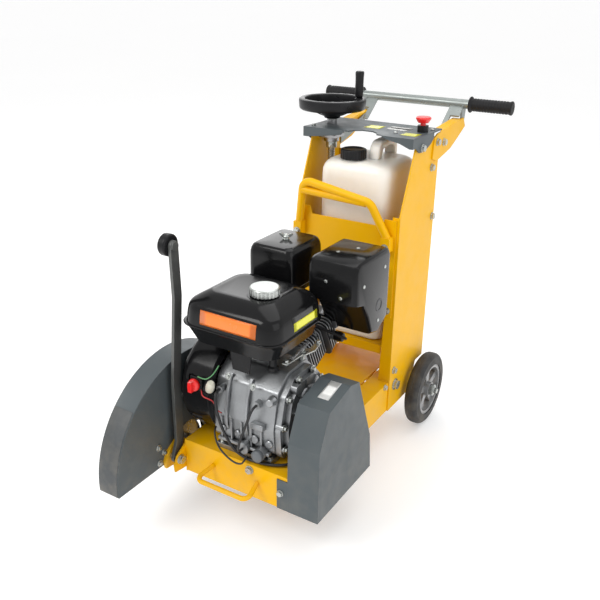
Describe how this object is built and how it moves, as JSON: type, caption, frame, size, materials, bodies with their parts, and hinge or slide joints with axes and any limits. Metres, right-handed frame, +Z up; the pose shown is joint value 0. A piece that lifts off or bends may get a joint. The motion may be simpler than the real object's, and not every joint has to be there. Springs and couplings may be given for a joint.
{
  "type": "walk-behind concrete saw",
  "caption": "Walk-behind petrol concrete saw on four wheels, with side blade guard, belt drive, water tank, folding guide arm and a handwheel that sets cutting depth.",
  "frame": {"origin": "bottom centre of the whole machine, on the ground between the wheels", "axes": "+Z up; the machine faces -Y and the operator stands at +Y; the blade is on the -X side and the belt drive on the +X side"},
  "size_m": [0.5852, 1.143, 1.016],
  "materials": {
    "yellow_paint": "semi-gloss powder coat",
    "grey_paint": "semi-gloss slate grey powder coat",
    "black_paint": "gloss black enamel",
    "zinc": "zinc plated",
    "steel": "machined steel",
    "cast_aluminium": "as cast",
    "wheel_alloy": "cast and turned",
    "cast_iron": "painted casting",
    "rubber": "matte",
    "tyre": "solid rubber",
    "belt_rubber": "matte",
    "black_plastic": "moulded",
    "tank_plastic": "translucent moulded polyethylene",
    "red_plastic": "gloss",
    "cable_jacket": "semi-matte",
    "front_wheel": "solid moulded"
  },
  "bodies": {
    "frame": {"base_frame": "yellow_paint", "front_handle": "yellow_paint", "pointer_bracket": "yellow_paint", "column_left": "yellow_paint", "column_right": "yellow_paint", "front_plate": "yellow_paint", "tank_shelf": "yellow_paint", "dashboard": "grey_paint", "handle_arms": "yellow_paint", "handlebar": "zinc", "handlebar_grips": "rubber", "lifting_bail": "yellow_paint", "frame_bolts": "zinc", "water_tank": "tank_plastic", "filler_neck": "tank_plastic", "water_tap": "zinc", "estop_base": "black_plastic", "screw_bearing": "steel", "front_axle": "zinc", "arbor_bearings": "cast_iron", "drive_belts": "belt_rubber", "belt_guard": "grey_paint", "blade_guard": "grey_paint", "crankcase": "cast_aluminium", "crankcase_cover": "cast_aluminium", "cylinder_head": "cast_aluminium", "fuel_tank": "black_paint", "air_filter": "black_plastic", "carburettor": "cast_aluminium", "muffler": "black_paint", "fan_housing": "black_paint", "recoil_cover": "black_paint", "stop_cable": "cable_jacket", "oil_lead": "cable_jacket", "engine_bolts": "zinc"},
    "yoke": {"rear_yoke": "yellow_paint", "rear_axle": "zinc"},
    "rear_wheel_left": {"rear_hub_left": "wheel_alloy", "rear_tyre_left": "tyre"},
    "rear_wheel_right": {"rear_hub_right": "wheel_alloy", "rear_tyre_right": "tyre"},
    "front_wheel_left": {"front_wheel_left": "front_wheel"},
    "front_wheel_right": {"front_wheel_right": "front_wheel"},
    "handwheel": {"handwheel": "black_plastic", "lifting_screw": "zinc"},
    "crank_knob": {"handwheel_knob": "black_plastic"},
    "lift_nut": {"lift_nut": "steel"},
    "guide_arm": {"guide_arm": "zinc"},
    "guide_wheel": {"guide_wheel": "black_plastic"},
    "engine_shaft": {"crankshaft": "steel", "engine_pulley": "cast_iron"},
    "arbor": {"arbor_shaft": "steel", "blade_flange": "steel", "arbor_pulley": "cast_iron"},
    "estop_button": {"estop_button": "red_plastic"},
    "tank_cap": {"tank_cap": "black_plastic"},
    "fuel_cap": {"fuel_cap": "zinc"},
    "tap_lever": {"tap_lever": "red_plastic"},
    "throttle_lever": {"throttle_lever": "black_plastic"},
    "engine_switch": {"engine_switch": "red_plastic"},
    "starter_handle": {"starter_handle": "black_plastic"}
  },
  "joints": [
    {"name": "yoke_swing", "type": "hinge", "parent": "frame", "child": "yoke", "pos_m": [0, 0.184, 0.184], "axis": [1, 0, 0], "range_deg": [-25, 25]},
    {"name": "rear_wheel_left_spin", "type": "hinge", "parent": "yoke", "child": "rear_wheel_left", "pos_m": [-0.187, 0.334, 0.11], "axis": [1, 0, 0], "continuous": true},
    {"name": "rear_wheel_right_spin", "type": "hinge", "parent": "yoke", "child": "rear_wheel_right", "pos_m": [0.187, 0.334, 0.11], "axis": [1, 0, 0], "continuous": true},
    {"name": "front_wheel_left_spin", "type": "hinge", "parent": "frame", "child": "front_wheel_left", "pos_m": [-0.114, -0.09, 0.075], "axis": [1, 0, 0], "continuous": true},
    {"name": "front_wheel_right_spin", "type": "hinge", "parent": "frame", "child": "front_wheel_right", "pos_m": [0.114, -0.09, 0.075], "axis": [1, 0, 0], "continuous": true},
    {"name": "handwheel_turn", "type": "hinge", "parent": "frame", "child": "handwheel", "pos_m": [-0.125, 0.276, 0.5], "axis": [0, 0, 1], "range_deg": [-1870, 1870]},
    {"name": "crank_knob_spin", "type": "hinge", "parent": "handwheel", "child": "crank_knob", "pos_m": [-0.068, 0.321, 0.97], "axis": [0, 0, 1], "continuous": true},
    {"name": "lift_nut_slide", "type": "slide", "parent": "frame", "child": "lift_nut", "axis": [0, 0, 1], "range_m": [-0.042, 0.042]},
    {"name": "guide_arm_swing", "type": "hinge", "parent": "frame", "child": "guide_arm", "pos_m": [-0.165, -0.395, 0.158], "axis": [1, 0, 0], "range_deg": [0, 100]},
    {"name": "guide_wheel_spin", "type": "hinge", "parent": "guide_arm", "child": "guide_wheel", "pos_m": [-0.18, -0.36, 0.697], "axis": [1, 0, 0], "continuous": true},
    {"name": "engine_shaft_spin", "type": "hinge", "parent": "frame", "child": "engine_shaft", "pos_m": [0, -0.25, 0.337], "axis": [1, 0, 0], "continuous": true},
    {"name": "arbor_spin", "type": "hinge", "parent": "frame", "child": "arbor", "pos_m": [0, -0.3155, 0.153], "axis": [1, 0, 0], "continuous": true},
    {"name": "estop_press", "type": "slide", "parent": "frame", "child": "estop_button", "axis": [0, 0, -1], "range_m": [0, 0.006], "stiffness_N_per_m": 400, "springref_m": -0.006},
    {"name": "tank_cap_turn", "type": "hinge", "parent": "frame", "child": "tank_cap", "pos_m": [-0.022, 0.214, 0.818], "axis": [0, 0, 1], "range_deg": [0, 540]},
    {"name": "fuel_cap_turn", "type": "hinge", "parent": "frame", "child": "fuel_cap", "pos_m": [0.034, -0.293, 0.612], "axis": [0, 0, 1], "range_deg": [0, 90]},
    {"name": "tap_lever_turn", "type": "hinge", "parent": "frame", "child": "tap_lever", "pos_m": [-0.086, 0.33, 0.274], "axis": [1, 0, 0], "range_deg": [0, 90]},
    {"name": "throttle_turn", "type": "hinge", "parent": "frame", "child": "throttle_lever", "pos_m": [-0.106, -0.088, 0.508], "axis": [1, 0, 0], "range_deg": [0, 50]},
    {"name": "engine_switch_turn", "type": "hinge", "parent": "frame", "child": "engine_switch", "pos_m": [-0.108, -0.3818, 0.372], "axis": [0, -1, 0], "range_deg": [0, 60]},
    {"name": "starter_pull", "type": "slide", "parent": "frame", "child": "starter_handle", "axis": [0, 0, 1], "range_m": [0, 0.45], "stiffness_N_per_m": 20, "springref_m": -0.15}
  ],
  "couplings": [
    {"joint": "lift_nut_slide", "follows": "yoke_swing", "m_per_rad": 0.095},
    {"joint": "handwheel_turn", "follows": "yoke_swing", "ratio": -74.613},
    {"joint": "arbor_spin", "follows": "engine_shaft_spin", "ratio": 0.7875}
  ]
}
